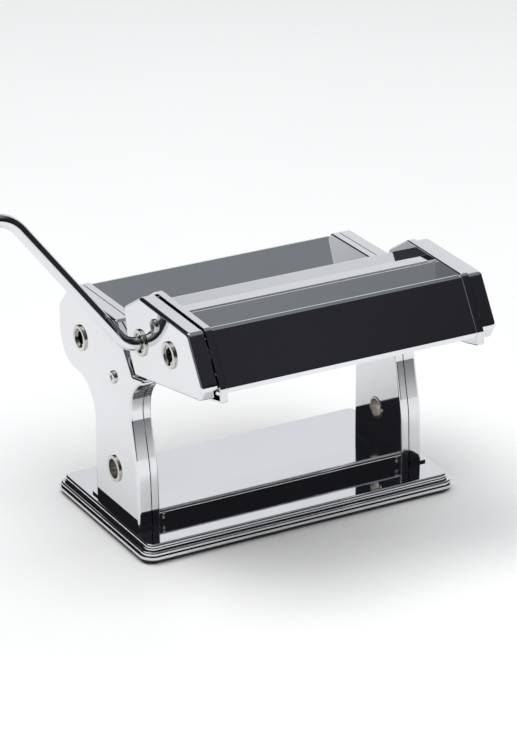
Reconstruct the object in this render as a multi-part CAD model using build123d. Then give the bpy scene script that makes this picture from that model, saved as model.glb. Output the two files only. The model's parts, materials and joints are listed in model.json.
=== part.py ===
"""Manual pasta roller machine with a lift-off double cutter head and a crank.

X runs along the rollers (the crank is on the -X side), -Y is the front (cutter side), +Z is up.
The origin is the centre of the flat face that the machine stands on.  Millimetres.
"""
import os
from math import atan2, cos, degrees, hypot, pi, radians, sin, sqrt, tan

from build123d import *

# ---------------------------------------------------------------- driving dimensions
SHEET = 1.2                    # sheet steel thickness
SHEET_WIDTH = 150.0            # working width of the rollers and cutters

BASE_WIDTH = 212.0
BASE_DEPTH = 124.0
BASE_TOP = 11.0
BASE_RADIUS = 9.0
RIM_LIP = 1.6                  # height of the bright bottom lip
RIM_STEP = 2.2                 # each step of the rim goes in by this much
UNDERLAY_TOP = 4.4
MAT_HEIGHT = 1.2
RIM_LOW = 3.2                  # height of the chromed rim's lowest edge
BEAD_LOW = RIM_LOW + RIM_LIP
BEAD_HEIGHT = 2.6
BEAD_ROUND = 1.2
GROOVE_SPAN = (1.0, 4.0)       # heights above the bead's lowest edge
BASE_TOP_ROUND = 1.4
FOOT_SCREWS = [(x, y) for x in (-90.5, 90.5) for y in (-24.0, 12.0)]
FOOT_SCREW_HEAD = (3.6, 2.2)   # radius and height
FOOT_SCREW_LENGTH = 9.5
FOOT_HOLE_RADIUS = 2.2
FOOT_BLOCK_Y = (-31.5, 19.5)
FOOT_BLOCK_TOP = 21.0
FOOT_FLANGE = 1.8              # the foot flange stands out this far around the leg
FOOT_FLANGE_THICK = 1.4

CROSS_BAR_FRONT = -33.3        # channel between the feet
CROSS_BAR_BACK = -14.5
CROSS_BAR_TOP = 19.4
CROSS_BAR_BEND = 1.5
RIVET_RADIUS = 1.1
RIVET_X = 79.7
RIVET_HEIGHTS = (14.3, 17.2)

HOUSING_OUT = 96.5             # |X| of the main housings' outer faces
HOUSING_SEAM = 88.1            # |X| where the outer shell's rim ends
HOUSING_PLATE_OUT = 87.5       # |X| where the inner plate's rim ends
HOUSING_PLATE_IN = 82.5        # |X| of the inner plate's panel
COVER_OUT = 96.0               # the same four for the cutter head
COVER_SEAM = 86.3
CUTTER_PLATE_OUT = 85.6
CUTTER_PLATE_IN = 81.0
HOUSING_ROUND = 1.6            # rounding of the main housings' outer edges
COVER_ROUND = 2.4              # rounding of the cutter covers' outer edges
HOUSING_TOP = 134.0
LEG_FRONT = -34.5
LEG_BACK = 22.3

REAR_ROLLER_AT = (37.9, 106.2)  # (Y, Z) of the driven smooth roller
ROLLER_RADIUS = 11.5
ROLLER_HALF = 78.0
GAP_MIN = 0.3                  # roller gap at the thinnest setting
GAP_TRAVEL = 2.2               # how far the adjustable roller moves
ROLLER_TILT = 8.0              # the adjustable roller is this many degrees above level
ROLLER_TEETH = 11
ROLLER_GEAR_WIDTH = 6.0
ROLLER_GEAR_X = -89.3
ROLLER_BACKLASH = 0.45         # each tooth is thinner by this much on the pitch circle
PRESSURE_ANGLE = radians(20.0)
ADDENDUM = 0.84                # tooth height above the pitch circle, in modules
DEDENDUM = 1.15
FLANK_STEPS = 5

WIDE_DRIVE_AT = (-41.3, 131.4)
NARROW_DRIVE_AT = (-77.6, 136.9)
CUTTER_PITCH = 15.6            # centre distance of a cutter pair
CUTTER_RADIUS = 8.6
CUTTER_GROOVE_CLEARANCE = 0.35
CUTTER_TEETH = 12
CUTTER_GEAR_WIDTH = 6.0
CUTTER_GEAR_X = 87.5           # middle of the cutters' gears
CUTTER_BACKLASH = 0.25
SHAFT_TAIL = 4.0               # a journal runs this far past its inner plate
WIDE_CUT = 6.5
NARROW_CUT = 2.0
BLADE_GAP = 0.12               # side clearance between neighbouring discs

CRANK_RADIUS = 4.0
FIT = 0.08                     # radial clearance of every running fit
JOURNAL_RADIUS = 4.5
SOCKET_RADIUS = 5.5            # outside of a shaft end that takes the crank
SOCKET_DEPTH = 22.0
WING_THICK = 1.6
WING_REACH = 5.2
BUSH_RADIUS = 8.0
BUSH_PROUD = 1.3
BUSH_ROUND = 0.5
BUSH_LEDGE = 1.25              # the sleeve behind the flange is this much smaller
BUSH_SLEEVE = 3.4
BUSH_WALL = 1.25               # wall of the cutters' plain bushes
PRESS = 0.01                   # a pressed-on piece is this much larger in the bore
TOLERANCE = 0.01               # for picking edges by position

CRANK_OUT = 9.0                # elbow's distance outside the cover
CRANK_ARM_Y = 20.1             # how far back the arm's end lies from the socket
CRANK_ARM_Z = 81.8             # and how far up
CRANK_LEAN = 60.5              # the arm leans outwards by this much
CRANK_ELBOW_BEND = 13.0
CRANK_BEND = 19.0
CRANK_BEND_REACH = 9.8         # straight length that the upper bend takes from the grip's rod
WING_BACK = 6.0                # distance of the wings from the rod's tip
WING_LENGTH = 7.0
GRIP_LENGTH = 78.0
GRIP_RADIUS = 11.5
GRIP_NECK = 8.2                # radius of the grip's inner end
GRIP_OFFSET = 3.0              # from the end of the bend to the grip
GRIP_PROFILE = [(0, GRIP_NECK), (14, 9.2), (42.9, GRIP_RADIUS), (70, 10.6), (GRIP_LENGTH, 8.4)]
CAP_RADIUS = 6.6
CAP_LENGTH = 3.4
CAP_ROUND = 1.4
CAP_GAP = 0.4

CLAMP_AT = (-3.8, 37.9)
CLAMP_RADIUS = 6.0
CLAMP_RING = 8.15
ROD_RADIUS = 3.0
CUTTER_ROD_RADIUS = 2.5
SCREW_HEAD_RADIUS = 3.9
SCREW_HEAD_HEIGHT = 1.5
SCREW_HEAD_ROUND = 1.0
RECESS_LENGTH = 3.8            # cross recess of a screw head
RECESS_WIDTH = 0.9
RECESS_DEPTH = 0.9
SCREW_RADIUS = 2.0
CUTTER_SCREW_RADIUS = 1.8
SCREW_DEPTH = 9.0
FLUSH_HEAD_RADIUS = 3.3        # countersunk head that the dial covers

SELECTOR_AT_DISTANCE = 16.2    # selector shaft's distance from the front roller's axis
SELECTOR_RADIUS = 4.0
BLOCK_LENGTH = 17.0            # sliding bearing block of the adjustable roller
BLOCK_HEIGHT = 15.0
SELECTOR_X = (83.9, 85.6)      # |X| span of the cams
CAM_BASE = 7.4
CAM_SWEEP = 270.0              # degrees of knob travel
KNOB_RADIUS = 14.5
KNOB_LENGTH = 19.0
KNOB_PULL = 3.0
KNOB_ROUND = 2.0
KNOB_GAP = 0.4                 # between dial and knob
KNOB_WELL = 7.2                # radius of the well for the spring
KNOB_FLOOR = 6.0
FLUTE_COUNT = 12
FLUTE_RADIUS = 4.0
FLUTE_CIRCLE = 18.2
PIN_RADIUS = 1.5
PIN_CIRCLE = 12.0
PIN_DEPTH = 0.9
PIN_ROUND = 0.6
PIN_SEAT = 5.0
SPRING_WIRE = 0.5
SPRING_RADIUS = 5.6
SPRING_TURNS = 5
DIAL_RADIUS = 17.5
DIAL_THICK = 1.6
DIAL_GROOVE = (10.1, 13.9)     # inner and outer radius of the groove the pin runs in
DIAL_GROOVE_DEPTH = 0.9
DIMPLE_COUNT = 10
DIMPLE_RADIUS = 1.9
DIMPLE_DEPTH = 1.2
END_SCREW_LENGTH = 6.0
END_CAP_RADIUS = 6.6
END_CAP_LENGTH = 2.5
SHAFT_END = HOUSING_OUT + DIAL_THICK + KNOB_LENGTH + KNOB_PULL - 4.0

RAIL_DEPTH = 7.0
RAIL_LENGTH = 26.0
RAIL_START = 3.0               # distance along the seat from its lower end
TONGUE_LENGTH = 19.0
SLIDE_GAP = 0.4                # clearance between tongue and rail
GUIDE_NOTCH = 8.2              # the front guide's fold stays clear of the tongues

# ---------------------------------------------------------------- outlines in the YZ plane
HOUSING_OUTLINE = [
    ((LEG_FRONT, BASE_TOP), 0.0),
    ((-33.3, 46.0), 80.0),
    ((-22.0, 96.0), 24.0),
    ((-57.0, 111.3), 1.8),
    ((-30.0, 106.2), 2.0),
    ((-9.5, HOUSING_TOP), 3.0),
    ((52.5, HOUSING_TOP), 3.0),
    ((67.6, 118.0), 3.0),
    ((67.6, 83.0), 20.0),
    ((21.5, 82.0), 22.0),
    ((LEG_BACK, BASE_TOP), 0.0),
]
COVER_OUTLINE = [
    ((-32.3, 107.4), 2.5),
    ((-24.5, 120.6), 30.0),
    ((-19.6, 146.3), 2.5),
    ((-40.8, 159.0), 5.0),
    ((-99.5, 157.4), 3.5),
    ((-116.6, 129.6), 4.0),
    ((-111.5, 121.3), 3.0),
]
CUTTER_PLATE_OUTLINE = [
    ((-32.0, 107.8), 1.5),
    ((-24.2, 120.5), 30.0),
    ((-19.0, 147.0), 2.5),
    ((-40.5, 160.3), 5.0),
    ((-100.0, 158.6), 3.0),
    ((-118.0, 129.2), 3.0),
    ((-119.0, 120.8), 1.5),
    ((-108.0, 118.3), 4.0),
    ((-60.0, 110.5), 1.0),
    ((-55.0, 111.6), 1.0),
]
FRONT_PANEL_LINE = [(-94.5, 153.6), (-97.6, 157.3), (-99.6, 156.4), (-117.3, 128.4), (-116.6, 125.6)]
FRONT_HOPPER_LINE = [(-69.6, 154.4), (-72.4, 157.4), (-84.0, 146.9)]
REAR_HOPPER_LINE = [(-68.6, 156.6), (-59.6, 156.6), (-52.8, 144.2)]
BACK_HOPPER_LINE = [(-22.6, 142.0), (-24.6, 147.6), (-43.4, 143.4)]
REAR_GUIDE_LINE = [(37.2, 119.6), (55.0, 131.2), (60.0, 127.5)]
FRONT_GUIDE_LINE = [(13.0, 123.4), (-3.0, 132.8), (-8.0, 129.6)]
HOPPER_SHEET = 1.0
HEM_BEND = 0.9
PLATE_BEND = 1.5
SEAT_START = (-30.0, 106.2)    # lower end of the slanted edge that carries the cutter head
SEAT_END = (-9.5, HOUSING_TOP)

# ---------------------------------------------------------------- derived places
ROLLER_DISTANCE = 2 * ROLLER_RADIUS + GAP_MIN + GAP_TRAVEL
TILT = radians(ROLLER_TILT)
CLOSE = (cos(TILT), -sin(TILT))          # direction in which the adjustable roller closes
FRONT_ROLLER_AT = (
    REAR_ROLLER_AT[0] - ROLLER_DISTANCE * CLOSE[0],
    REAR_ROLLER_AT[1] - ROLLER_DISTANCE * CLOSE[1],
)
SELECTOR_AT = (
    FRONT_ROLLER_AT[0] - SELECTOR_AT_DISTANCE * CLOSE[0],
    FRONT_ROLLER_AT[1] - SELECTOR_AT_DISTANCE * CLOSE[1],
)
ROLLER_MODULE = (2 * ROLLER_RADIUS + GAP_MIN) / ROLLER_TEETH
CUTTER_MODULE = CUTTER_PITCH / CUTTER_TEETH
ROW_LENGTH = hypot(NARROW_DRIVE_AT[0] - WIDE_DRIVE_AT[0], NARROW_DRIVE_AT[1] - WIDE_DRIVE_AT[1])
ROW = (
    (NARROW_DRIVE_AT[0] - WIDE_DRIVE_AT[0]) / ROW_LENGTH,
    (NARROW_DRIVE_AT[1] - WIDE_DRIVE_AT[1]) / ROW_LENGTH,
)
WIDE_IDLE_AT = (WIDE_DRIVE_AT[0] + CUTTER_PITCH * ROW[0], WIDE_DRIVE_AT[1] + CUTTER_PITCH * ROW[1])
NARROW_IDLE_AT = (
    NARROW_DRIVE_AT[0] + CUTTER_PITCH * ROW[0],
    NARROW_DRIVE_AT[1] + CUTTER_PITCH * ROW[1],
)
CUTTER_CORE = CUTTER_PITCH - CUTTER_RADIUS - CUTTER_GROOVE_CLEARANCE
SEAT_LENGTH = hypot(SEAT_END[0] - SEAT_START[0], SEAT_END[1] - SEAT_START[1])
LIFT = ((SEAT_END[0] - SEAT_START[0]) / SEAT_LENGTH, (SEAT_END[1] - SEAT_START[1]) / SEAT_LENGTH)

HOUSING_ROD_AT = (-5.6, 97.2)
HIDDEN_HOUSING_RODS = [(58.0, 97.0), (56.0, 124.0)]
CUTTER_ROD_AT = (-59.6, 148.3)
HIDDEN_CUTTER_RODS = [(-106.5, 125.0), (-29.5, 140.5)]


# ---------------------------------------------------------------- helpers
def outline_face(outline):
    """Face in the YZ plane inside a closed outline of (point, corner radius) pairs."""
    path = FilletPolyline(
        *[point for point, _ in outline],
        radius=[corner for _, corner in outline],
        close=True,
    )
    return make_face(path)


def extrude_x(face, start, end):
    """Solid with the YZ section `face` between X = start and X = end."""
    low, high = min(start, end), max(start, end)
    return extrude(Plane.YZ.offset(low) * face, high - low)


def disc_x(radius, start, end, at):
    """Round bar along X between two X values, with its axis at (Y, Z) = at."""
    low, high = min(start, end), max(start, end)
    return Pos(low, at[0], at[1]) * (Plane.YZ * extrude(Circle(radius), high - low))


def ring_x(outer, inner, start, end, at):
    """Round sleeve along X."""
    low, high = min(start, end), max(start, end)
    return disc_x(outer, low, high, at) - disc_x(inner, low - 1, high + 1, at)


def edges_at(shape, x):
    """Edges that lie in the plane with the given X."""
    return shape.edges().filter_by_position(Axis.X, x - TOLERANCE, x + TOLERANCE)


def bent_plate(points, thick, half, bend=1.5):
    """Sheet bent along X: the outline of its section follows `points` with rounded bends."""
    line = FilletPolyline(*points, radius=bend) if len(points) > 2 else Line(*points)
    section = trace(line, thick)
    return extrude_x(section, -half, half)


def mirrored(shape):
    """The same piece on the other side of the machine."""
    return mirror(shape, about=Plane.YZ)


def pan(outline, rim, face, wall, rounding):
    """Pressed cover: an open rim at X = rim, a flat panel whose outside is at X = face."""
    section = outline_face(outline)
    body = extrude_x(section, rim, face)
    body = fillet(edges_at(body, face), rounding)
    inward = wall if face > rim else -wall
    hollow = extrude_x(offset(section, -wall), rim - inward, face - inward)
    return body - hollow


def group(*solids):
    """Several separate solids in one node."""
    return Compound(children=[solid for solid in solids])


def save(shape, node):
    """Write one node's STEP file."""
    export_step(shape, f"parts/{node}.step")


def pan_head(at, face, side):
    """Cross-recessed pan-head screw head on an outer face, side is -1 or +1."""
    head = disc_x(SCREW_HEAD_RADIUS, face, face + side * SCREW_HEAD_HEIGHT, at)
    top = face + side * SCREW_HEAD_HEIGHT
    head = fillet(edges_at(head, top), SCREW_HEAD_ROUND)
    cross = Box(2 * RECESS_DEPTH, RECESS_LENGTH, RECESS_WIDTH)
    cross += Box(2 * RECESS_DEPTH, RECESS_WIDTH, RECESS_LENGTH)
    return head - Pos(top, *at) * cross


def screw(at, face, side, radius):
    """Pan-head screw whose shank runs inwards."""
    return pan_head(at, face, side) + disc_x(radius, face - side * SCREW_DEPTH, face + side * 0.5, at)


def flush_screw():
    """Countersunk screw of the right housing, level with the face that the dial covers."""
    head = disc_x(FLUSH_HEAD_RADIUS, HOUSING_OUT - SHEET, HOUSING_OUT - 0.05, HOUSING_ROD_AT)
    return head + disc_x(SCREW_RADIUS, HOUSING_OUT - SCREW_DEPTH, HOUSING_OUT - 0.5, HOUSING_ROD_AT)


def involute_gear(module, teeth, width, thinning, phase):
    """Spur gear about the X axis, centred on the origin; `phase` turns it (degrees)."""
    pitch = module * teeth / 2
    base = pitch * cos(PRESSURE_ANGLE)
    tip = pitch + ADDENDUM * module
    root = pitch - DEDENDUM * module
    half_tooth = pi / (2 * teeth) - thinning / (2 * pitch)
    involute_at_pitch = tan(PRESSURE_ANGLE) - PRESSURE_ANGLE
    flank = []
    for step in range(FLANK_STEPS + 1):
        radius = base + (tip - base) * step / FLANK_STEPS
        pressure = sqrt(max((radius / base) ** 2 - 1, 0))
        spread = half_tooth + involute_at_pitch - (pressure - atan2(pressure, 1))
        flank.append((radius, spread))
    points = []
    for tooth in range(teeth):
        middle = 2 * pi * tooth / teeth + radians(phase)
        outline = [(root, flank[0][1])] + flank
        for radius, spread in outline:
            points.append((radius * cos(middle - spread), radius * sin(middle - spread)))
        for radius, spread in reversed(outline):
            points.append((radius * cos(middle + spread), radius * sin(middle + spread)))
    return extrude_x(make_face(Polyline(*points, close=True)), -width / 2, width / 2)


# ---------------------------------------------------------------- base
def base_step(steps, low, high):
    """Rounded slab as large as the base less a number of rim steps, between two heights."""
    inset = steps * RIM_STEP
    corner = max(BASE_RADIUS - steps, BASE_RADIUS / 3)
    slab = extrude(RectangleRounded(BASE_WIDTH - inset, BASE_DEPTH - inset, corner), high - low)
    return Pos(0, 0, low) * slab


def base_plate():
    """Pressed tray: lip, bead, groove and raised top, hollow underneath."""
    lip = base_step(0, RIM_LOW, BEAD_LOW)
    bead = base_step(1, BEAD_LOW, BEAD_LOW + BEAD_HEIGHT)
    bead = fillet(bead.faces().sort_by(Axis.Z)[-1].edges(), BEAD_ROUND)
    groove = base_step(3, BEAD_LOW + GROOVE_SPAN[0], BEAD_LOW + GROOVE_SPAN[1])
    top = base_step(3.6, BEAD_LOW + BEAD_HEIGHT + 0.4, BASE_TOP)
    top = fillet(top.faces().sort_by(Axis.Z)[-1].edges(), BASE_TOP_ROUND)
    cavity = base_step(5.5, 0, BASE_TOP - SHEET)
    plate = lip + bead + groove + top - cavity
    for x, y in FOOT_SCREWS:
        plate -= Pos(x, y, BASE_TOP - SHEET) * Cylinder(FOOT_HOLE_RADIUS, 6)
    return plate


def base_underlay():
    """Black moulded tray that closes the base from below, with a raised inner plate."""
    return base_step(1.4, MAT_HEIGHT, RIM_LOW) + base_step(6, RIM_LOW - 0.2, UNDERLAY_TOP)


def rubber_mat():
    """Non-slip mat under the tray; the machine stands on its flat underside."""
    return base_step(4, 0, MAT_HEIGHT)


def base_screws():
    """Screws from under the tray's top into the foot blocks."""
    screws = []
    for x, y in FOOT_SCREWS:
        radius, height = FOOT_SCREW_HEAD
        head = Pos(x, y, BASE_TOP - SHEET - height) * extrude(Circle(radius), height)
        shank = Pos(x, y, BASE_TOP - SHEET - 1) * extrude(Circle(SCREW_RADIUS), FOOT_SCREW_LENGTH)
        screws.append(head + shank)
    return group(*screws)


def foot_block(side):
    """Steel block inside a leg's foot with two threaded holes."""
    low, high = sorted((side * (HOUSING_PLATE_IN + 1.8), side * (HOUSING_OUT - 1.8)))
    bottom = BASE_TOP + SHEET + 0.1
    front, back = FOOT_BLOCK_Y
    section = [((front, bottom), 0), ((front, FOOT_BLOCK_TOP), 1), ((back, FOOT_BLOCK_TOP), 1),
               ((back, bottom), 0)]
    block = extrude_x(outline_face(section), low, high)
    for x, y in FOOT_SCREWS:
        if x * side > 0:
            block -= Pos(x, y, BASE_TOP + FOOT_SCREW_LENGTH / 2) * Cylinder(SCREW_RADIUS + 0.05, 10.0)
    return block


def front_cross_bar():
    """Folded channel that ties the two feet together, with two rivet heads near each end."""
    bar = bent_plate(
        [(CROSS_BAR_FRONT + SHEET / 2, BASE_TOP), (CROSS_BAR_FRONT + SHEET / 2, CROSS_BAR_TOP - SHEET / 2),
         (CROSS_BAR_BACK, CROSS_BAR_TOP - SHEET / 2)], SHEET, HOUSING_PLATE_IN, CROSS_BAR_BEND)
    for x in (-RIVET_X, RIVET_X):
        for height in RIVET_HEIGHTS:
            bar += Pos(x, CROSS_BAR_FRONT + 0.3, height) * Sphere(RIVET_RADIUS)
    return bar


# ---------------------------------------------------------------- main housings
def outer_housing(side):
    """Pressed shell of one leg and head, with a foot flange and the openings of its side."""
    shell = pan(HOUSING_OUTLINE, HOUSING_SEAM, HOUSING_OUT, SHEET, HOUSING_ROUND)
    flange = Pos(0, 0, BASE_TOP) * extrude(
        Pos((HOUSING_SEAM + HOUSING_OUT + FOOT_FLANGE) / 2, (LEG_FRONT + LEG_BACK) / 2)
        * Rectangle(HOUSING_OUT - HOUSING_SEAM + FOOT_FLANGE, LEG_BACK - LEG_FRONT + 2 * FOOT_FLANGE),
        FOOT_FLANGE_THICK)
    flange -= extrude_x(offset(outline_face(HOUSING_OUTLINE), -SHEET), HOUSING_SEAM - 1, HOUSING_OUT - SHEET)
    shell += flange
    shell = shell if side > 0 else mirrored(shell)
    panel = (side * (HOUSING_OUT - 4), side * (HOUSING_OUT + 4))
    shell -= disc_x(2.3 if side < 0 else FLUSH_HEAD_RADIUS + 0.1, *panel, HOUSING_ROD_AT)
    for x, y in FOOT_SCREWS:
        shell -= Pos(x, y, BASE_TOP) * Cylinder(FOOT_HOLE_RADIUS, 6.0)
    shell -= disc_x(CLAMP_RING - 1.1, *panel, CLAMP_AT)
    if side < 0:
        shell -= disc_x(BUSH_RADIUS - 1.2, *panel, REAR_ROLLER_AT)
    else:
        shell -= disc_x(SELECTOR_RADIUS + 1.1, *panel, SELECTOR_AT)
    return shell


def inner_plate(side):
    """Inner wall of one housing: carries the roller bearings."""
    plate = pan(HOUSING_OUTLINE, HOUSING_PLATE_OUT, HOUSING_PLATE_IN, SHEET, 1.0)
    plate = plate if side > 0 else mirrored(plate)
    panel = (side * (HOUSING_PLATE_IN - 4), side * (HOUSING_PLATE_IN + 3))
    plate -= disc_x(JOURNAL_RADIUS + 3.05 if side > 0 else SOCKET_RADIUS + 2.05, *panel, REAR_ROLLER_AT)
    plate -= disc_x(SELECTOR_RADIUS + 0.3, *panel, SELECTOR_AT)
    plate -= disc_x(CLAMP_RADIUS + 1.3, *panel, CLAMP_AT)
    for rod in [HOUSING_ROD_AT] + HIDDEN_HOUSING_RODS:
        plate -= disc_x(2.1, *panel, rod)
    for x, y in FOOT_SCREWS:
        plate -= Pos(x, y, BASE_TOP) * Cylinder(FOOT_HOLE_RADIUS, 6.0)
    slot = block_prism(BLOCK_LENGTH + GAP_TRAVEL + 0.6, BLOCK_HEIGHT + 0.6, *panel)
    plate -= slot.moved(Location((0, CLOSE[0] * GAP_TRAVEL / 2, CLOSE[1] * GAP_TRAVEL / 2)))
    return plate


def block_prism(length, height, start, end):
    """Rectangular bar along X at the adjustable roller's axis, its long side along its travel."""
    low, high = min(start, end), max(start, end)
    box = Rot(-ROLLER_TILT, 0, 0) * Box(high - low, length, height)
    return Pos((low + high) / 2, *FRONT_ROLLER_AT) * box


def bearing_block(side):
    """Plastic block that carries the adjustable roller and slides in the inner plate's slot."""
    start, end = sorted((side * (HOUSING_PLATE_IN - 1.7), side * (HOUSING_PLATE_IN + 3.3)))
    block = block_prism(BLOCK_LENGTH, BLOCK_HEIGHT, start, end)
    return block - disc_x(JOURNAL_RADIUS + FIT, start - 1, end + 1, FRONT_ROLLER_AT)


def smooth_roller(at, socket):
    """Polished roller with a journal at each end; the driven one ends in a crank socket."""
    body = disc_x(ROLLER_RADIUS, -ROLLER_HALF, ROLLER_HALF, at)
    body = chamfer(body.edges().filter_by(GeomType.CIRCLE), 0.5)
    body += disc_x(JOURNAL_RADIUS, ROLLER_HALF - 1, HOUSING_PLATE_IN + 5.0, at)
    if socket:
        body += socket_end(at, ROLLER_HALF - 1)
        return cut_socket(body, at)
    return body + disc_x(JOURNAL_RADIUS, -(HOUSING_OUT - 2.0), 1 - ROLLER_HALF, at)


def socket_end(at, start):
    """Stub on the crank side, thick enough for the crank socket."""
    return disc_x(SOCKET_RADIUS, -(COVER_OUT + 0.3), -start, at)


def cut_socket(body, at):
    """Blind hole for the crank with a cross slot for its wings."""
    mouth = -(COVER_OUT + 0.3)
    body -= disc_x(CRANK_RADIUS + FIT, mouth - 1, mouth + SOCKET_DEPTH, at)
    slot_length = SOCKET_DEPTH - 1.0
    slot = Pos(mouth - 1.0 + slot_length / 2, *at) * Box(slot_length, 2.4, 2 * SOCKET_RADIUS + 2)
    return body - slot


def roller_gear(at, other, socket, half_step):
    """Gear of one smooth roller, in mesh with its neighbour."""
    towards = degrees(atan2(other[1] - at[1], other[0] - at[0]))
    phase = towards + (180 / ROLLER_TEETH if half_step else 0)
    bore = (SOCKET_RADIUS if socket else JOURNAL_RADIUS) + 2 * PRESS
    gear = involute_gear(ROLLER_MODULE, ROLLER_TEETH, ROLLER_GEAR_WIDTH, ROLLER_BACKLASH, phase)
    low, high = ROLLER_GEAR_X - ROLLER_GEAR_WIDTH, ROLLER_GEAR_X + ROLLER_GEAR_WIDTH
    return Pos(ROLLER_GEAR_X, *at) * gear - disc_x(bore, low, high, at)


def wall_bush(at, shaft, plate_in, side, hole):
    """Flanged bush in an inner plate."""
    inner = plate_in - 1.4
    flange = ring_x(hole + 1.6, shaft + FIT, side * inner, side * plate_in, at)
    sleeve = ring_x(hole - 0.05, shaft + FIT, side * plate_in, side * (plate_in + 2.6), at)
    return flange + sleeve


def crank_bush(at, face):
    """Visible round bush in the crank side's outer wall."""
    flange = ring_x(BUSH_RADIUS, SOCKET_RADIUS + FIT, -(face + BUSH_PROUD), -face, at)
    flange = fillet(edges_at(flange, -(face + BUSH_PROUD)), BUSH_ROUND)
    sleeve = ring_x(BUSH_RADIUS - BUSH_LEDGE, SOCKET_RADIUS + FIT, -face, -(face - BUSH_SLEEVE), at)
    return flange + sleeve


def clamp_socket(side):
    """Sleeve in the leg that takes the pin of a table clamp."""
    inner, outer = side * (HOUSING_PLATE_IN - 0.5), side * HOUSING_OUT
    flange = ring_x(CLAMP_RING, CLAMP_RADIUS, outer, outer + side, CLAMP_AT)
    sleeve = ring_x(CLAMP_RADIUS + 1.0, CLAMP_RADIUS, inner, outer, CLAMP_AT)
    return flange + sleeve


def tie_rods(rods, radius, half, stub):
    """Round spacer rods between the inner plates, with a thinner end through each plate."""
    pieces = []
    for at in rods:
        pieces.append(disc_x(radius, -half, half, at) + disc_x(2.0, -half - stub, half + stub, at))
    return pieces


def scraper(at, sign):
    """Spring-steel scraper under one smooth roller, with its folded root."""
    tip_angle = radians(-90 + sign * 32)
    reach = ROLLER_RADIUS + 0.55
    tip = (at[0] + reach * cos(tip_angle), at[1] + reach * sin(tip_angle))
    root = (tip[0] + sign * 1.5, tip[1] - 8.0)
    end = (root[0] + sign * 5.0, root[1])
    return bent_plate([tip, root, end], 0.8, HOUSING_PLATE_IN, 1.0)


def guide_plates():
    """Feed plates of the smooth rollers: the rear one is higher, both have a hemmed top edge."""
    rear = bent_plate(REAR_GUIDE_LINE, SHEET, HOUSING_PLATE_IN, PLATE_BEND)
    front = bent_plate(FRONT_GUIDE_LINE, SHEET, HOUSING_PLATE_IN, PLATE_BEND)
    for side in (-1, 1):
        front -= Pos(side * (HOUSING_PLATE_IN + 1), -7.0, 131.0) * Box(2 * GUIDE_NOTCH, 12.0, 12.0)
    return rear, front


# ---------------------------------------------------------------- thickness selector
def cam_face():
    """Snail cam: the radius grows evenly with the angle, then falls back in a short ramp."""
    points = []
    steps = 54
    start = atan2(CLOSE[1], CLOSE[0])
    for step in range(steps + 1):
        angle = CAM_SWEEP * step / steps
        radius = CAM_BASE + GAP_TRAVEL * step / steps
        turn = start - radians(angle)
        points.append((radius * cos(turn), radius * sin(turn)))
    low_turn = start - radians(CAM_SWEEP + 30)
    points.append((CAM_BASE * cos(low_turn), CAM_BASE * sin(low_turn)))
    middle_turn = start - radians(CAM_SWEEP + 60)
    points.append((CAM_BASE * cos(middle_turn), CAM_BASE * sin(middle_turn)))
    return make_face(Polyline(*points, close=True))


def selector_cam(side):
    """Snail cam pinned to the selector shaft beside one bearing block."""
    low, high = sorted((side * SELECTOR_X[0], side * SELECTOR_X[1]))
    cam = Pos(0, *SELECTOR_AT) * extrude_x(cam_face(), low, high)
    return cam - disc_x(SELECTOR_RADIUS, low - 1, high + 1, SELECTOR_AT)


def selector_shaft():
    """Cross shaft from the left cam to the knob's end screw."""
    shoulder = SHAFT_END - END_SCREW_LENGTH
    shaft = disc_x(SELECTOR_RADIUS, -(SELECTOR_X[1] + 0.3), shoulder, SELECTOR_AT)
    return shaft + disc_x(SCREW_RADIUS, shoulder - 0.5, SHAFT_END, SELECTOR_AT)


def selector_cap():
    """Round retaining screw that holds the spring on the shaft's end."""
    shoulder = SHAFT_END - END_SCREW_LENGTH
    cap = disc_x(END_CAP_RADIUS, shoulder, shoulder + END_CAP_LENGTH, SELECTOR_AT)
    return cap - disc_x(SCREW_RADIUS + 0.05, shoulder - 1, SHAFT_END + 1, SELECTOR_AT)


def dial_plate():
    """Round dial with a shallow ring groove that the index pin follows."""
    face = HOUSING_OUT + DIAL_THICK
    plate = ring_x(DIAL_RADIUS, SELECTOR_RADIUS + 0.4, HOUSING_OUT, face, SELECTOR_AT)
    plate -= ring_x(DIAL_GROOVE[1], DIAL_GROOVE[0], face - DIAL_GROOVE_DEPTH, face + 1, SELECTOR_AT)
    for position in range(DIMPLE_COUNT):
        angle = radians(CAM_SWEEP / (DIMPLE_COUNT - 1) * position - 90)
        place = (SELECTOR_AT[0] + PIN_CIRCLE * cos(angle), SELECTOR_AT[1] + PIN_CIRCLE * sin(angle))
        plate -= disc_x(DIMPLE_RADIUS, face - DIMPLE_DEPTH, face, place)
    return plate


def selector_knob():
    """Fluted knob with a well for the spring; it slides on the selector shaft."""
    face = HOUSING_OUT + DIAL_THICK + KNOB_GAP
    end = face + KNOB_LENGTH
    knob = disc_x(KNOB_RADIUS, face, end, SELECTOR_AT)
    knob = fillet(edges_at(knob, end), KNOB_ROUND)
    for flute in range(FLUTE_COUNT):
        angle = 2 * pi * flute / FLUTE_COUNT
        place = (SELECTOR_AT[0] + FLUTE_CIRCLE * cos(angle), SELECTOR_AT[1] + FLUTE_CIRCLE * sin(angle))
        knob -= disc_x(FLUTE_RADIUS, face + KNOB_FLOOR / 2, end + 1, place)
    knob -= disc_x(SELECTOR_RADIUS + FIT, face - 1, end + 1, SELECTOR_AT)
    knob -= disc_x(KNOB_WELL, face + KNOB_FLOOR, end + 1, SELECTOR_AT)
    pin_place = (SELECTOR_AT[0], SELECTOR_AT[1] - PIN_CIRCLE)
    return knob - disc_x(PIN_RADIUS + 2 * PRESS, face - 1, face + PIN_SEAT, pin_place)


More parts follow.
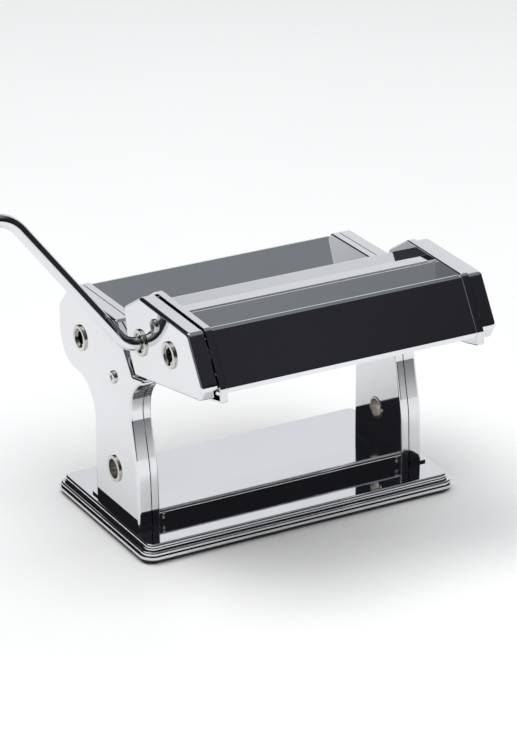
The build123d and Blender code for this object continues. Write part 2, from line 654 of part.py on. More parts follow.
def index_pin():
    """Round-ended pin in the knob that runs in the dial's groove."""
    face = HOUSING_OUT + DIAL_THICK + KNOB_GAP
    pin_place = (SELECTOR_AT[0], SELECTOR_AT[1] - PIN_CIRCLE)
    pin = disc_x(PIN_RADIUS, face - PIN_DEPTH, face + PIN_SEAT - 0.5, pin_place)
    return fillet(edges_at(pin, face - PIN_DEPTH), PIN_ROUND)


def knob_spring():
    """Coil spring between the knob's shoulder and the end screw."""
    start = HOUSING_OUT + DIAL_THICK + KNOB_GAP + KNOB_FLOOR
    length = SHAFT_END - END_SCREW_LENGTH - start
    rise = length - 2 * SPRING_WIRE
    path = Helix(pitch=rise / SPRING_TURNS, height=rise, radius=SPRING_RADIUS)
    section = Plane(origin=path @ 0, z_dir=path % 0) * Circle(SPRING_WIRE)
    coil = sweep(section, path=path)
    return Pos(start + SPRING_WIRE, *SELECTOR_AT) * Rot(0, 90, 0) * coil


# ---------------------------------------------------------------- cutter head
def cutter_cover(side):
    """Pressed cover at one end of the cutter head."""
    cover = pan(COVER_OUTLINE, COVER_SEAM, COVER_OUT, SHEET, COVER_ROUND)
    cover = cover if side > 0 else mirrored(cover)
    panel = (side * (COVER_OUT - 4), side * (COVER_OUT + 4))
    cover -= disc_x(2.1, *panel, CUTTER_ROD_AT)
    if side < 0:
        for at in (WIDE_DRIVE_AT, NARROW_DRIVE_AT):
            cover -= disc_x(BUSH_RADIUS - 1.2, *panel, at)
    return cover


def cutter_plate(side):
    """Inner wall of the cutter head: carries the cutters' bushes."""
    plate = pan(CUTTER_PLATE_OUTLINE, CUTTER_PLATE_OUT, CUTTER_PLATE_IN, SHEET, 0.8)
    plate = plate if side > 0 else mirrored(plate)
    panel = (side * (CUTTER_PLATE_IN - 4), side * (CUTTER_PLATE_IN + 3))
    for at in (WIDE_DRIVE_AT, NARROW_DRIVE_AT):
        shaft = JOURNAL_RADIUS if side > 0 else SOCKET_RADIUS
        plate -= disc_x(shaft + 1.3, *panel, at)
    for at in (WIDE_IDLE_AT, NARROW_IDLE_AT):
        plate -= disc_x(JOURNAL_RADIUS + 1.3, *panel, at)
    for rod in [CUTTER_ROD_AT] + HIDDEN_CUTTER_RODS:
        plate -= disc_x(2.1, *panel, rod)
    return plate


def cutter_bushes(side):
    """Four bushes of one cutter inner plate."""
    bushes = []
    for at in (WIDE_DRIVE_AT, WIDE_IDLE_AT, NARROW_DRIVE_AT, NARROW_IDLE_AT):
        driven = at in (WIDE_DRIVE_AT, NARROW_DRIVE_AT)
        shaft = SOCKET_RADIUS if driven and side < 0 else JOURNAL_RADIUS
        inner, outer = side * (CUTTER_PLATE_IN - 0.6), side * (CUTTER_PLATE_IN + 2.4)
        bushes.append(ring_x(shaft + BUSH_WALL, shaft + FIT, inner, outer, at))
    return bushes


def cutter_roller(at, band, first, driven):
    """Roller with alternate discs and grooves; `first` selects the even or odd bands."""
    bands = int(SHEET_WIDTH / band)
    bands -= 1 - bands % 2
    half = bands * band / 2
    radii = []
    for index in range(bands):
        left = -half + index * band
        if index % 2 == first:
            radii += [(left + BLADE_GAP, CUTTER_RADIUS), (left + band - BLADE_GAP, CUTTER_RADIUS)]
        else:
            radii += [(left - BLADE_GAP, CUTTER_CORE), (left + band + BLADE_GAP, CUTTER_CORE)]
    end = ROLLER_HALF
    points = [(-end, 0), (-end, CUTTER_CORE)]
    for x, radius in radii:
        x = min(max(x, -end), end)
        points.append((x, radius))
    points += [(end, CUTTER_CORE), (end, 0)]
    kept = [points[0]]
    for point in points[1:]:
        if hypot(point[0] - kept[-1][0], point[1] - kept[-1][1]) > 1e-6:
            kept.append(point)
    section = make_face(Plane.XZ * Polyline(*kept, close=True))
    body = Pos(0, *at) * revolve(section, Axis.X)
    body += disc_x(JOURNAL_RADIUS, end - 1, CUTTER_GEAR_X + SHAFT_TAIL, at)
    if driven:
        body += socket_end(at, end - 1)
        return cut_socket(body, at)
    return body + disc_x(JOURNAL_RADIUS, -(CUTTER_PLATE_IN + SHAFT_TAIL), 1 - end, at)


def cutter_gear(at, other, half_step):
    """Gear on one cutter roller's right end."""
    towards = degrees(atan2(other[1] - at[1], other[0] - at[0]))
    phase = towards + (180 / CUTTER_TEETH if half_step else 0)
    gear = involute_gear(CUTTER_MODULE, CUTTER_TEETH, CUTTER_GEAR_WIDTH, CUTTER_BACKLASH, phase)
    low, high = CUTTER_GEAR_X - CUTTER_GEAR_WIDTH, CUTTER_GEAR_X + CUTTER_GEAR_WIDTH
    return Pos(CUTTER_GEAR_X, *at) * gear - disc_x(JOURNAL_RADIUS + 2 * PRESS, low, high, at)


def comb(at, other, band, first):
    """Comb under one cutter: a bar with a finger in each of the roller's grooves."""
    bands = int(SHEET_WIDTH / band)
    bands -= 1 - bands % 2
    half = bands * band / 2
    away = -1 if other[0] > at[0] else 1
    bar_at = (at[0] + away * 2.0, at[1] - CUTTER_RADIUS - 3.4)
    bar = Pos(0, *bar_at) * Box(2 * CUTTER_PLATE_IN, 4.0, 2.0)
    for index in range(bands):
        if index % 2 == first:
            continue
        middle = -half + (index + 0.5) * band
        width = band - 4 * BLADE_GAP - 0.4
        bottom = bar_at[1]
        top = at[1] - CUTTER_CORE - 0.5
        bar += Pos(middle, bar_at[0] - away * 1.0, (bottom + top) / 2) * Box(width, 1.6, top - bottom)
    return bar


def front_panel():
    """Inclined front panel with a hemmed top edge and a folded bottom lip."""
    return bent_plate(FRONT_PANEL_LINE, SHEET, CUTTER_PLATE_IN, HEM_BEND)


def hopper_plates():
    """Divider between the two feeds (front and rear plate) and the back plate."""
    front = bent_plate(FRONT_HOPPER_LINE, HOPPER_SHEET, CUTTER_PLATE_IN, HEM_BEND)
    rear = bent_plate(REAR_HOPPER_LINE, HOPPER_SHEET, CUTTER_PLATE_IN, PLATE_BEND)
    back = bent_plate(BACK_HOPPER_LINE, HOPPER_SHEET, CUTTER_PLATE_IN, PLATE_BEND)
    return front, rear, back


# ---------------------------------------------------------------- rails of the cutter head
def along_seat(section, length, start):
    """Extrude an (X, inward) section along the slanted seat."""
    origin = (0, SEAT_START[0] + start * LIFT[0], SEAT_START[1] + start * LIFT[1])
    plane = Plane(origin=origin, x_dir=(1, 0, 0), z_dir=(0, LIFT[0], LIFT[1]))
    return extrude(plane * section, length)


def rectangle_between(x0, x1, y0, y1):
    """Rectangle with the given corners."""
    return Pos((x0 + x1) / 2, (y0 + y1) / 2) * Rectangle(x1 - x0, y1 - y0)


def cutter_rail():
    """T-slotted rail on the right inner plate; y = 0 is the seat line, +y points into the housing."""
    block = rectangle_between(75.6, HOUSING_PLATE_IN, 0.6, RAIL_DEPTH)
    slot = rectangle_between(78.2 - SLIDE_GAP, 80.0 + SLIDE_GAP, 0, 2.4)
    cavity = rectangle_between(76.8 - SLIDE_GAP, 81.0 + SLIDE_GAP, 2.4, 5.6)
    return along_seat(block - slot - cavity, RAIL_LENGTH, RAIL_START)


def cutter_tongue():
    """T-shaped tongue on the cutter head's right inner plate, sliding in the rail."""
    head = rectangle_between(76.8, 81.0, 2.4 + SLIDE_GAP, 5.6 - SLIDE_GAP)
    stem = rectangle_between(78.2, 80.0, -2.0, 3.4)
    root = rectangle_between(78.2, CUTTER_PLATE_IN, -8.5, -1.2)
    return along_seat(head + stem + root, TONGUE_LENGTH, RAIL_START + 1.0)


# ---------------------------------------------------------------- crank
def crank_points():
    """Corner points of the crank rod: tip, elbow, arm's end, grip's end."""
    tip = (-(COVER_OUT + 0.3) + SOCKET_DEPTH - 1.0, *WIDE_DRIVE_AT)
    elbow = (-(COVER_OUT + CRANK_OUT), *WIDE_DRIVE_AT)
    arm_end = (elbow[0] - CRANK_LEAN, WIDE_DRIVE_AT[0] + CRANK_ARM_Y, WIDE_DRIVE_AT[1] + CRANK_ARM_Z)
    rod_end = (grip_start(arm_end) - GRIP_LENGTH - CAP_LENGTH + 0.6, arm_end[1], arm_end[2])
    return tip, elbow, arm_end, rod_end


def grip_start(arm_end):
    """X of the grip's inner end."""
    return arm_end[0] - CRANK_BEND_REACH - GRIP_OFFSET


def crank_rod():
    """Bent chromed rod with two pressed wings on its tip."""
    tip, elbow, arm_end, rod_end = crank_points()
    path = FilletPolyline(tip, elbow, arm_end, rod_end, radius=[CRANK_ELBOW_BEND, CRANK_BEND])
    rod = sweep(Plane(origin=tip, z_dir=(-1, 0, 0)) * Circle(CRANK_RADIUS), path=path)
    wings_x = tip[0] - WING_BACK
    wings = Pos(wings_x, *WIDE_DRIVE_AT) * Box(WING_LENGTH, WING_THICK, 2 * WING_REACH)
    wings = wings & disc_x(WING_REACH, wings_x - WING_LENGTH, wings_x + WING_LENGTH, WIDE_DRIVE_AT)
    return rod + wings


def crank_grip():
    """Turned grip that spins on the rod's end."""
    arm_end = crank_points()[2]
    start = grip_start(arm_end)
    profile = Spline(*GRIP_PROFILE, tangents=[(1, 0.1), (1, -1.2)])
    outline = profile + Polyline(GRIP_PROFILE[-1], (GRIP_LENGTH, 0), (0, 0), GRIP_PROFILE[0])
    grip = revolve(make_face(Plane.XZ * outline), Axis.X)
    grip -= Pos(GRIP_LENGTH / 2, 0, 0) * (Rot(0, 90, 0) * Cylinder(CRANK_RADIUS + FIT, GRIP_LENGTH + 2))
    grip = mirror(grip, about=Plane.YZ)
    return Pos(start, arm_end[1], arm_end[2]) * grip


def crank_cap():
    """Cap riveted on the rod's end that keeps the grip on."""
    _, _, arm_end, rod_end = crank_points()
    start = grip_start(arm_end) - GRIP_LENGTH - CAP_GAP
    end = start - CAP_LENGTH
    cap = disc_x(CAP_RADIUS, end, start, arm_end[1:])
    cap = fillet(edges_at(cap, end), CAP_ROUND)
    return cap - disc_x(CRANK_RADIUS + PRESS, rod_end[0], start + 1, arm_end[1:])


# ---------------------------------------------------------------- write every node
def build():
    """Make all nodes and write them."""
    os.makedirs("parts", exist_ok=True)
    sides = {"left": -1, "right": 1}

    save(base_plate(), "base_plate")
    save(base_underlay(), "base_underlay")
    save(rubber_mat(), "rubber_mat")
    save(base_screws(), "base_screws")
    for name, side in sides.items():
        save(outer_housing(side), f"{name}_outer_housing")
        save(inner_plate(side), f"{name}_inner_plate")
        save(clamp_socket(side), f"{name}_clamp_socket")
        save(bearing_block(side), f"{name}_bearing_block")
        save(cutter_cover(side), f"{name}_cutter_cover")
        save(cutter_plate(side), f"{name}_cutter_plate")
    save(group(foot_block(-1), foot_block(1)), "foot_blocks")
    save(front_cross_bar(), "front_cross_bar")
    save(group(selector_cam(-1), selector_cam(1)), "selector_cams")
    save(group(*cutter_bushes(-1), *cutter_bushes(1)), "cutter_bushes")
    save(group(cutter_rail(), mirrored(cutter_rail())), "cutter_rails")
    save(group(cutter_tongue(), mirrored(cutter_tongue())), "cutter_tongues")

    left_bush = wall_bush(REAR_ROLLER_AT, SOCKET_RADIUS, HOUSING_PLATE_IN, -1, SOCKET_RADIUS + 2.05)
    right_bush = wall_bush(REAR_ROLLER_AT, JOURNAL_RADIUS, HOUSING_PLATE_IN, 1, JOURNAL_RADIUS + 3.05)
    save(group(left_bush, right_bush), "roller_bushes")
    save(crank_bush(REAR_ROLLER_AT, HOUSING_OUT), "roller_crank_bush")
    housing_rods = tie_rods([HOUSING_ROD_AT] + HIDDEN_HOUSING_RODS, ROD_RADIUS, HOUSING_PLATE_IN, 3.0)
    save(group(*housing_rods), "housing_tie_rods")
    left_screw = screw(HOUSING_ROD_AT, -HOUSING_OUT, -1, SCREW_RADIUS)
    save(group(left_screw, flush_screw()), "housing_screws")
    save(scraper(REAR_ROLLER_AT, 1), "rear_scraper")
    save(scraper(FRONT_ROLLER_AT, -1), "front_scraper")
    rear_guide, front_guide = guide_plates()
    save(rear_guide, "rear_guide_plate")
    save(front_guide, "front_guide_plate")

    save(smooth_roller(REAR_ROLLER_AT, True), "rear_smooth_roller")
    save(smooth_roller(FRONT_ROLLER_AT, False), "front_smooth_roller")
    save(roller_gear(REAR_ROLLER_AT, FRONT_ROLLER_AT, True, False), "rear_roller_gear")
    save(roller_gear(FRONT_ROLLER_AT, REAR_ROLLER_AT, False, True), "front_roller_gear")

    save(selector_shaft(), "selector_shaft")
    save(selector_cap(), "selector_end_cap")
    save(dial_plate(), "dial_plate")
    save(selector_knob(), "selector_knob")
    save(index_pin(), "index_pin")
    save(knob_spring(), "knob_spring")

    save(front_panel(), "cutter_front_panel")
    front_hopper, rear_hopper, back_hopper = hopper_plates()
    save(front_hopper, "front_hopper_plate")
    save(rear_hopper, "rear_hopper_plate")
    save(back_hopper, "back_hopper_plate")
    cutter_rods = tie_rods([CUTTER_ROD_AT] + HIDDEN_CUTTER_RODS, CUTTER_ROD_RADIUS, CUTTER_PLATE_IN, 3.0)
    save(group(*cutter_rods), "cutter_tie_rods")
    cutter_screws = [screw(CUTTER_ROD_AT, side * COVER_OUT, side, CUTTER_SCREW_RADIUS) for side in (-1, 1)]
    save(group(*cutter_screws), "cutter_screws")
    save(group(crank_bush(WIDE_DRIVE_AT, COVER_OUT), crank_bush(NARROW_DRIVE_AT, COVER_OUT)),
         "cutter_crank_bushes")

    pairs = {
        "wide": (WIDE_DRIVE_AT, WIDE_IDLE_AT, WIDE_CUT),
        "narrow": (NARROW_DRIVE_AT, NARROW_IDLE_AT, NARROW_CUT),
    }
    for name, (drive, idle, band) in pairs.items():
        save(cutter_roller(drive, band, 0, True), f"{name}_drive_cutter")
        save(cutter_roller(idle, band, 1, False), f"{name}_idle_cutter")
        save(cutter_gear(drive, idle, False), f"{name}_drive_gear")
        save(cutter_gear(idle, drive, True), f"{name}_idle_gear")
        save(group(comb(drive, idle, band, 0), comb(idle, drive, band, 1)), f"{name}_combs")

    save(crank_rod(), "crank_rod")
    save(crank_grip(), "crank_grip")
    save(crank_cap(), "crank_end_cap")


build()
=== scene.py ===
"""Looks of the pasta roller machine: camera, studio, materials and fine detail on the CAD frame."""
import json
import math

import bpy
from mathutils import Matrix, Vector


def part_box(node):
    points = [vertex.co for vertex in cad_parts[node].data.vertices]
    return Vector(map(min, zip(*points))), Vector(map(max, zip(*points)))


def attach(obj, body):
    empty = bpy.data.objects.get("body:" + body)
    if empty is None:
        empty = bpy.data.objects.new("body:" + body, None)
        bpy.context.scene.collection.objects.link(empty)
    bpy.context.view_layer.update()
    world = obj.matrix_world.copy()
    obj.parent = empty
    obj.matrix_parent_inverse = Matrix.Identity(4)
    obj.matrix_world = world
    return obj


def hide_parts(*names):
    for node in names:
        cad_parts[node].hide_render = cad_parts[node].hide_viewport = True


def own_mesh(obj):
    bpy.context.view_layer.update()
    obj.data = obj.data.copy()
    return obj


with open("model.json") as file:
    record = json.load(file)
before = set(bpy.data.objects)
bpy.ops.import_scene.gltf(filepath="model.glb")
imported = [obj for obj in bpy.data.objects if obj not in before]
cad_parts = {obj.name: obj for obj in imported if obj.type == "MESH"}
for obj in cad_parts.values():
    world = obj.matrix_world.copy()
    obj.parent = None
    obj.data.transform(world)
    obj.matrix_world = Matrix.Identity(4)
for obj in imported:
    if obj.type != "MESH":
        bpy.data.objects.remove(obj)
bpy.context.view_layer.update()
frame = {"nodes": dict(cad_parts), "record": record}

NODES = frame["nodes"]
RECORD = frame["record"]
MM = 0.001

# ---------------------------------------------------------------- camera
CAMERA_AZIMUTH = -28.5         # degrees, 0 looks along +Y
CAMERA_ELEVATION = 23.0
CAMERA_ROLL = -0.5
CAMERA_DISTANCE = 1.868        # metres from the point it looks at
CAMERA_LENS = 151.7            # mm
CAMERA_SENSOR = 36             # mm
CAMERA_AIM = 0.070             # height of the point it turns about
CAMERA_SHIFT_RIGHT = 0.0021
CAMERA_SHIFT_UP = 0.0087


def make_camera():
    """Camera at the viewing angle of the reference picture."""
    azimuth, elevation = math.radians(CAMERA_AZIMUTH), math.radians(CAMERA_ELEVATION)
    back = Vector((math.sin(azimuth) * math.cos(elevation),
                   -math.cos(azimuth) * math.cos(elevation),
                   math.sin(elevation)))
    right = Vector((math.cos(azimuth), math.sin(azimuth), 0))
    up = back.cross(right)
    roll = math.radians(CAMERA_ROLL)
    rolled_right = math.cos(roll) * right + math.sin(roll) * up
    rolled_up = math.cos(roll) * up - math.sin(roll) * right
    place = (back * CAMERA_DISTANCE + rolled_right * CAMERA_SHIFT_RIGHT
             + rolled_up * CAMERA_SHIFT_UP + Vector((0, 0, CAMERA_AIM)))
    data = bpy.data.cameras.new("camera")
    data.lens = CAMERA_LENS
    data.sensor_width = CAMERA_SENSOR
    camera = bpy.data.objects.new("camera", data)
    bpy.context.scene.collection.objects.link(camera)
    turn = Matrix((rolled_right, rolled_up, back)).transposed().to_4x4()
    camera.matrix_world = Matrix.Translation(place) @ turn
    bpy.context.scene.camera = camera


# ---------------------------------------------------------------- node helpers
class Shader:
    """A node material with a Principled shader and short calls to add what drives it."""

    def __init__(self, name):
        self.material = bpy.data.materials.new(name)
        self.material.use_nodes = True
        self.tree = self.material.node_tree
        self.shader = self.tree.nodes["Principled BSDF"]
        self.place = self.tree.nodes.new("ShaderNodeTexCoord").outputs["Object"]

    def set(self, **values):
        """Uniform values, by socket name with underscores for spaces."""
        for name, value in values.items():
            self.shader.inputs[name.replace("_", " ")].default_value = value
        return self

    def link(self, output, socket):
        """Drives one of the shader's sockets."""
        self.tree.links.new(output, self.shader.inputs[socket])

    def node(self, kind, **settings):
        """New node of a kind, with its settings."""
        made = self.tree.nodes.new(kind)
        for name, value in settings.items():
            setattr(made, name, value)
        return made

    def stretched(self, scale):
        """Object coordinates stretched by a scale for each axis."""
        mapping = self.node("ShaderNodeMapping")
        mapping.inputs["Scale"].default_value = scale
        self.tree.links.new(self.place, mapping.inputs["Vector"])
        return mapping.outputs["Vector"]

    def noise(self, scale, detail=4.0, roughness=0.55, vector=None):
        """Value of a noise texture in object space."""
        made = self.node("ShaderNodeTexNoise")
        made.inputs["Scale"].default_value = scale
        made.inputs["Detail"].default_value = detail
        made.inputs["Roughness"].default_value = roughness
        self.tree.links.new(vector or self.place, made.inputs["Vector"])
        return made.outputs["Fac"]

    def span(self, value, low, high, start=0.3, stop=0.7):
        """Maps a noise value to a range."""
        made = self.node("ShaderNodeMapRange")
        made.inputs["From Min"].default_value = start
        made.inputs["From Max"].default_value = stop
        made.inputs["To Min"].default_value = low
        made.inputs["To Max"].default_value = high
        self.tree.links.new(value, made.inputs["Value"])
        return made.outputs["Result"]

    def colours(self, value, first, second, start=0.35, stop=0.65):
        """Two-colour ramp driven by a value."""
        ramp = self.node("ShaderNodeValToRGB")
        ramp.color_ramp.elements[0].position = start
        ramp.color_ramp.elements[0].color = (*first, 1)
        ramp.color_ramp.elements[1].position = stop
        ramp.color_ramp.elements[1].color = (*second, 1)
        self.tree.links.new(value, ramp.inputs["Fac"])
        return ramp.outputs["Color"]

    def product(self, first, second):
        """Product of two values."""
        made = self.node("ShaderNodeMath", operation="MULTIPLY")
        self.tree.links.new(first, made.inputs[0])
        self.tree.links.new(second, made.inputs[1])
        return made.outputs["Value"]

    def bump(self, height, strength, distance):
        """Bump from a height value; a second call adds to the first."""
        made = self.node("ShaderNodeBump")
        made.inputs["Strength"].default_value = strength
        made.inputs["Distance"].default_value = distance
        self.tree.links.new(height, made.inputs["Height"])
        normal = self.shader.inputs["Normal"]
        if normal.is_linked:
            self.tree.links.new(normal.links[0].from_socket, made.inputs["Normal"])
        self.tree.links.new(made.outputs["Normal"], normal)


# ---------------------------------------------------------------- materials
# Scales are noise cells per metre, depths are metres of bump.
CLOUD_SCALE = 9.0              # broad patches of haze on chrome
SMUDGE_SCALE = 34.0            # finger smudges inside them
SCRATCH_SCALE = 60.0
SCRATCH_STRETCH = (3, 60, 3)
SCRATCH_DEPTH = 0.02 * MM
RIPPLE_SCALE = 11.0            # waviness of pressed sheet
RIPPLE_DEPTH = 0.4 * MM
TOOL_MARK_SCALE = 40.0
TOOL_MARK_DEPTH = 0.05 * MM
STAIN_SCALE = 70.0
SHADE_SCALE = 45.0             # shade variation of plastic
GRAIN_DEPTH = 0.08 * MM
CHROME_SHADE = 0.93            # darkest patches as a share of the tint
STEEL_SHADE = 0.72


def chrome(name, tint=(0.77, 0.78, 0.80), gloss=0.035, smudge=0.10):
    """Mirror chrome: faint waviness of pressed sheet, hairline scratches and dull finger smudges."""
    shader = Shader(name).set(Metallic=1.0)
    cloud = shader.noise(CLOUD_SCALE, detail=5.0)
    patches = shader.noise(SMUDGE_SCALE, detail=3.0)
    haze = shader.product(cloud, patches)
    shader.link(shader.span(haze, gloss, smudge, start=0.26, stop=0.46), "Roughness")
    darker = tuple(CHROME_SHADE * channel for channel in tint)
    shader.link(shader.colours(cloud, tint, darker, start=0.4, stop=0.75), "Base Color")
    scratches = shader.noise(SCRATCH_SCALE, detail=2.0, vector=shader.stretched(SCRATCH_STRETCH))
    shader.bump(scratches, strength=0.02, distance=SCRATCH_DEPTH)
    ripple = shader.noise(RIPPLE_SCALE, detail=1.0)
    shader.bump(ripple, strength=0.05, distance=RIPPLE_DEPTH)
    return shader.material


def ground_steel(name, tint, low, high, stretch):
    """Machined or ground steel with tool marks along one direction."""
    shader = Shader(name).set(Metallic=1.0)
    marks = shader.noise(TOOL_MARK_SCALE, detail=6.0, vector=shader.stretched(stretch))
    shader.link(shader.span(marks, low, high), "Roughness")
    darker = tuple(STEEL_SHADE * channel for channel in tint)
    stain = shader.noise(STAIN_SCALE, detail=4.0)
    shader.link(shader.colours(stain, darker, tint, start=0.3, stop=0.6), "Base Color")
    shader.bump(marks, strength=0.12, distance=TOOL_MARK_DEPTH)
    return shader.material


def plastic(name, tint, low, high, grain, grip=0.25):
    """Moulded plastic with a fine eroded grain and slight shade variation."""
    shader = Shader(name).set(IOR=1.49)
    broad = shader.noise(SHADE_SCALE, detail=3.0)
    fine = shader.noise(grain, detail=2.0)
    lighter = tuple(min(1.0, 1.35 * channel + 0.004) for channel in tint)
    shader.link(shader.colours(broad, tint, lighter), "Base Color")
    shader.link(shader.span(broad, low, high), "Roughness")
    shader.bump(fine, strength=grip, distance=GRAIN_DEPTH)
    return shader.material


def make_materials():
    """One material for each slot of the record."""
    return {
        "chrome_shell": chrome("chrome_shell"),
        "chrome_plate": chrome("chrome_plate", (0.76, 0.77, 0.79), 0.05, 0.15),
        "base_chrome": chrome("base_chrome", (0.78, 0.79, 0.81), 0.03, 0.09),
        "crank_chrome": chrome("crank_chrome", (0.78, 0.79, 0.81), 0.03, 0.09),
        "roller_steel": ground_steel("roller_steel", (0.78, 0.79, 0.80), 0.10, 0.22, (1, 30, 30)),
        "blade_steel": ground_steel("blade_steel", (0.62, 0.62, 0.63), 0.18, 0.36, (30, 3, 3)),
        "gear_steel": ground_steel("gear_steel", (0.40, 0.39, 0.37), 0.25, 0.5, (4, 30, 30)),
        "fastener_steel": ground_steel("fastener_steel", (0.66, 0.66, 0.67), 0.16, 0.3, (8, 30, 30)),
        "bush_steel": ground_steel("bush_steel", (0.72, 0.70, 0.66), 0.14, 0.28, (2, 30, 30)),
        "dial_chrome": ground_steel("dial_chrome", (0.74, 0.74, 0.75), 0.22, 0.32, (2, 40, 4)),
        "spring_steel": ground_steel("spring_steel", (0.5, 0.5, 0.52), 0.2, 0.35, (40, 4, 4)),
        "bearing_plastic": plastic("bearing_plastic", (0.74, 0.72, 0.64), 0.38, 0.5, 900.0),
        "comb_plastic": plastic("comb_plastic", (0.70, 0.68, 0.60), 0.38, 0.5, 900.0),
        "black_plastic": plastic("black_plastic", (0.012, 0.012, 0.014), 0.3, 0.45, 1400.0),
        "rubber": plastic("rubber", (0.014, 0.014, 0.014), 0.75, 0.9, 500.0, 0.6),
    }


def dress_nodes(materials):
    """Gives every CAD node the material of its slot."""
    for part in RECORD["subparts"]:
        data = NODES[part["node"]].data
        data.materials.clear()
        data.materials.append(materials[part["material_slot"]])


# ---------------------------------------------------------------- fine detail
DIAL_DIGITS = 10
DIAL_START = -90.0             # degrees from +Y to the first digit
DIAL_TURN = 270.0              # degrees from the first digit to the last
DIGIT_WIDTH = 1.375 * MM       # between the centre lines of a digit's upright bars
DIGIT_HEIGHT = 2.125 * MM      # between the centre lines of its top and bottom bars
DIGIT_CIRCLE = 15.9 * MM       # radius of the circle through the digits' middles
STROKE = 0.34 * MM
RELIEF = 0.05 * MM
BAR_TOP = 0.75                 # top of a raised bar as a share of its foot
POINTER_START = 8.2 * MM       # from the knob's axis
POINTER_END = 12.0 * MM
POINTER_WIDTH = 1.0 * MM
SPRING_WIRE = 0.5 * MM         # radius of the wire
SPRING_INSET = 1.05            # wire radii from the CAD spring's box to the wire's centre
SPRING_TURNS = 5
SPRING_STEPS = 20              # sections in a turn
SPRING_SIDES = 8
SEGMENTS = {                   # the seven bars of a digit, as (start, end) on a 1 x 2 grid
    "a": ((0, 2), (1, 2)), "b": ((1, 2), (1, 1)), "c": ((1, 1), (1, 0)), "d": ((0, 0), (1, 0)),
    "e": ((0, 1), (0, 0)), "f": ((0, 2), (0, 1)), "g": ((0, 1), (1, 1)),
}
DIGITS = ["abcdef", "bc", "abdeg", "abcdg", "bcfg", "acdfg", "acdefg", "abc", "abcdefg", "abcdfg"]


def mesh_piece(name, points, faces, material):
    """Object from mesh data with one material."""
    mesh = bpy.data.meshes.new(name)
    mesh.from_pydata(points, [], faces)
    mesh.materials.append(material)
    made = bpy.data.objects.new(name, mesh)
    bpy.context.scene.collection.objects.link(made)
    return made


def bar_on_face(points, faces, face_x, start, end, width, relief):
    """Adds a raised bar with sloped sides from start to end, both (Y, Z), on a face at X = face_x."""
    start, end = Vector(start), Vector(end)
    along = (end - start).normalized() * width / 2
    across = Vector((-along.y, along.x))
    first = len(points)
    for grow, lift in ((1.0, 0.0), (BAR_TOP, relief)):
        corners = (start - along - across * grow, end + along - across * grow,
                   end + along + across * grow, start - along + across * grow)
        points.extend((face_x + lift, corner.x, corner.y) for corner in corners)
    low, high = range(first, first + 4), range(first + 4, first + 8)
    faces.append(tuple(high))
    for index in range(4):
        after = (index + 1) % 4
        faces.append((low[index], low[after], high[after], high[index]))


def centre_of(node):
    """Middle of a CAD node's box."""
    low, high = (Vector(corner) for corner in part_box(node))
    return (low + high) / 2


def dial_digits(material):
    """Generic digits 0 to 9 round the dial, raised a hair above its face."""
    centre = centre_of("dial_plate")
    face_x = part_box("dial_plate")[1][0]
    points, faces = [], []
    for digit in range(DIAL_DIGITS):
        angle = math.radians(DIAL_START + DIAL_TURN / (DIAL_DIGITS - 1) * digit)
        outward = Vector((math.cos(angle), math.sin(angle)))
        rightward = Vector((outward.y, -outward.x))
        middle = Vector((centre.y, centre.z)) + outward * DIGIT_CIRCLE
        for name in DIGITS[digit]:
            ends = [middle + rightward * (x - 0.5) * DIGIT_WIDTH + outward * (y - 1) * DIGIT_HEIGHT / 2
                    for x, y in SEGMENTS[name]]
            bar_on_face(points, faces, face_x, ends[0], ends[1], STROKE, RELIEF)
    digits = mesh_piece("dial_digits", points, faces, material)
    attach(digits, "machine_body")


def knob_pointer(material):
    """White painted line on the knob's end that points at the dial's digits."""
    centre = centre_of("selector_knob")
    face_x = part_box("selector_knob")[1][0]
    points, faces = [], []
    start = (centre.y, centre.z - POINTER_START)
    end = (centre.y, centre.z - POINTER_END)
    bar_on_face(points, faces, face_x, start, end, POINTER_WIDTH, RELIEF)
    pointer = mesh_piece("knob_pointer", points, faces, material)
    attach(pointer, "knob")


def coil_spring(material):
    """The knob's spring as a tube along a helix."""
    low, high = (Vector(corner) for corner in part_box("knob_spring"))
    centre = (low + high) / 2
    wire, inset = SPRING_WIRE, SPRING_INSET * SPRING_WIRE
    radius = (high.y - low.y) / 2 - inset
    steps = SPRING_TURNS * SPRING_STEPS
    points, faces = [], []
    for step in range(steps + 1):
        turn = 2 * math.pi * step / SPRING_STEPS
        along = low.x + inset + (high.x - low.x - 2 * inset) * step / steps
        for side in range(SPRING_SIDES):
            angle = 2 * math.pi * side / SPRING_SIDES
            reach = radius + wire * math.cos(angle)
            points.append((along + wire * math.sin(angle), centre.y + reach * math.cos(turn),
                           centre.z + reach * math.sin(turn)))
    for step in range(steps):
        for side in range(SPRING_SIDES):
            first = step * SPRING_SIDES + side
            second = step * SPRING_SIDES + (side + 1) % SPRING_SIDES
            faces.append((first, second, second + SPRING_SIDES, first + SPRING_SIDES))
    faces.append(tuple(range(SPRING_SIDES)))
    faces.append(tuple(steps * SPRING_SIDES + side for side in reversed(range(SPRING_SIDES))))
    spring = mesh_piece("coil_spring", points, faces, material)
    for polygon in spring.data.polygons:
        polygon.use_smooth = True
    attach(spring, "selector")
    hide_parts("knob_spring")
    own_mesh(spring)


def add_details(materials):
    """Pieces too fine for the CAD."""
    coil_spring(materials["spring_steel"])
    dial_digits(materials["black_plastic"])
    knob_pointer(materials["comb_plastic"])


# ---------------------------------------------------------------- studio
FLOOR_REACH = 9.0              # metres from the middle to each side
FLOOR_SHADES = (0.86, 0.86, 0.86), (0.89, 0.89, 0.89)
FLOOR_CLOUD_SCALE = 1.5
LAMP_AIM = (0, 0, 0.08)
CLUTTER_SCALE = 3.5            # vague shapes in the dark surroundings
CLUTTER_SHADES = (0.7, 1.9)    # their darkest and lightest, as shares of the base colour
MIX_FIRST, MIX_SECOND, MIX_RESULT = 6, 7, 2    # colour sockets of a mix node


